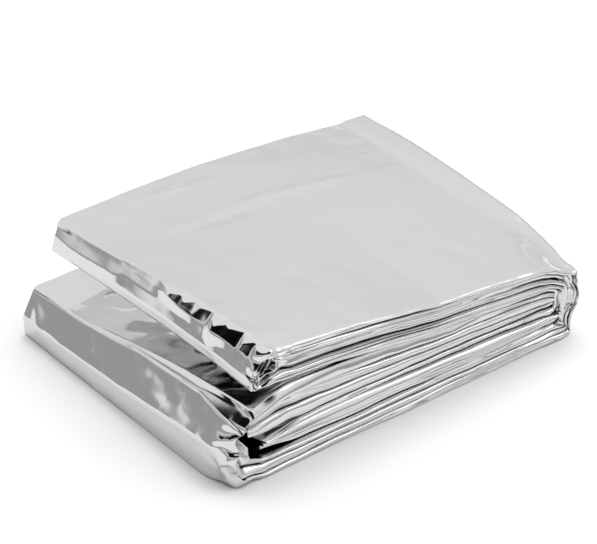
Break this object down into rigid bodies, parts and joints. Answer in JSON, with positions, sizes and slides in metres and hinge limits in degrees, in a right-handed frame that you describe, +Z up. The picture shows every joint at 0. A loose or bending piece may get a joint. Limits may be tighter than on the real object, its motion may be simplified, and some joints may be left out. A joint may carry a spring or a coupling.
{
  "type": "folded emergency foil blanket",
  "caption": "Thin metallised film blanket folded into a flat packet of two leaves, shut at one end and sprung open at the other.",
  "frame": {"origin": "centre of the packet's footprint, on the surface that it lies on", "axes": "+X along the packet towards its shut end, +Y across it towards its back edge, +Z up"},
  "size_m": [0.13, 0.1, 0.0406],
  "materials": {
    "foil": "bright polished film with fine creases"
  },
  "bodies": {
    "root": {"blanket": "foil"}
  },
  "joints": []
}
